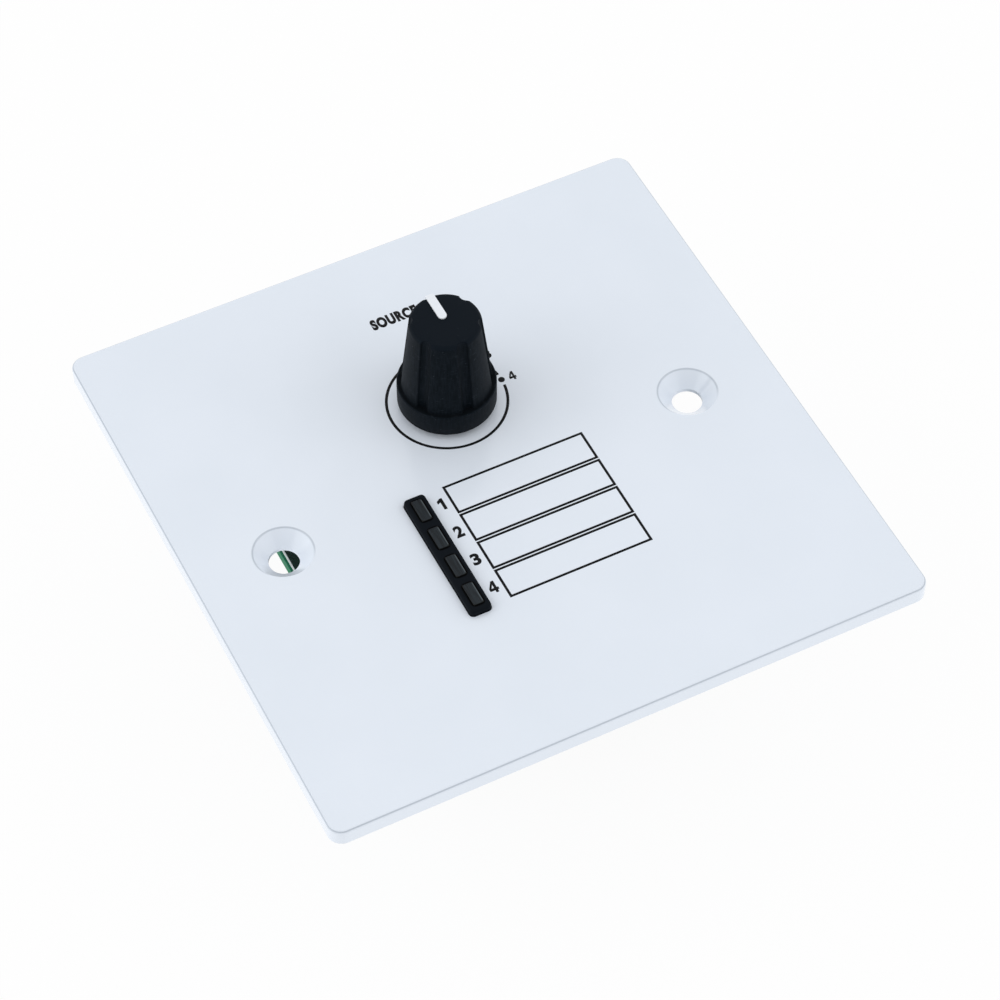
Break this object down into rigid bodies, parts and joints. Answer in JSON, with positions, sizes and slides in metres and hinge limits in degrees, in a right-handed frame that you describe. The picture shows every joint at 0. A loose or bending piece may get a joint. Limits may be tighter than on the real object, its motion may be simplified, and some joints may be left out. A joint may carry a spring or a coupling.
{
  "type": "audio zone controller",
  "caption": "Square wall plate with a fluted rotary selector knob, a strip of indicator lamps, a circuit board behind and a modular jack for choosing an audio source.",
  "frame": {"origin": "midway between the two fixing holes, on the plate's back face (the wall plane)", "axes": "+Z out of the wall towards the user, +Y up the wall, +X to the user's right"},
  "size_m": [0.086, 0.086, 0.0454],
  "materials": {
    "white_paint": "smooth satin-gloss paint on aluminium plate",
    "black_soft_touch": "soft-touch matt moulding",
    "white_insert": "moulded insert",
    "cast_zinc": "die-cast zinc, dull plated",
    "plated_steel": "zinc plated",
    "plated_brass": "nickel plated",
    "turned_aluminium": "turned",
    "switch_moulding": "glass-filled moulding",
    "rotor_acetal": "natural moulding",
    "base_laminate": "pressed laminate",
    "contact_brass": "silver-flashed",
    "board_green": "solder mask on glass-epoxy board",
    "lamp_black": "moulded",
    "lamp_lens": "smoked diffusing lens, unlit",
    "tinned_wire": "tinned",
    "jack_black": "moulded",
    "gold_wire": "gold flashed",
    "chip_black": "glazed ceramic"
  },
  "bodies": {
    "wall_unit": {"faceplate": "white_paint", "switch_bushing": "cast_zinc", "lock_washer": "plated_steel", "switch_nut": "plated_brass", "switch_housing": "switch_moulding", "switch_base": "base_laminate", "position_contacts": "contact_brass", "common_contacts": "contact_brass", "switch_rivets": "plated_brass", "circuit_board": "board_green", "standoffs": "plated_brass", "board_screws": "plated_steel", "led_housing": "lamp_black", "led_lens_1": "lamp_lens", "led_lens_2": "lamp_lens", "led_lens_3": "lamp_lens", "led_lens_4": "lamp_lens", "led_leads": "tinned_wire", "jack_housing": "jack_black", "jack_carrier": "jack_black", "jack_contacts": "gold_wire", "chip_resistors": "chip_black"},
    "selector": {"knob_body": "black_soft_touch", "knob_pointer": "white_insert", "switch_shaft": "turned_aluminium", "switch_rotor": "rotor_acetal", "detent_balls": "plated_steel", "detent_springs": "plated_steel", "wiper_contacts": "contact_brass"}
  },
  "joints": [
    {"name": "knob_turn", "type": "hinge", "parent": "wall_unit", "child": "selector", "pos_m": [0.0003, 0.0133, 0], "axis": [0, 0, 1], "range_deg": [-90, 0]}
  ]
}
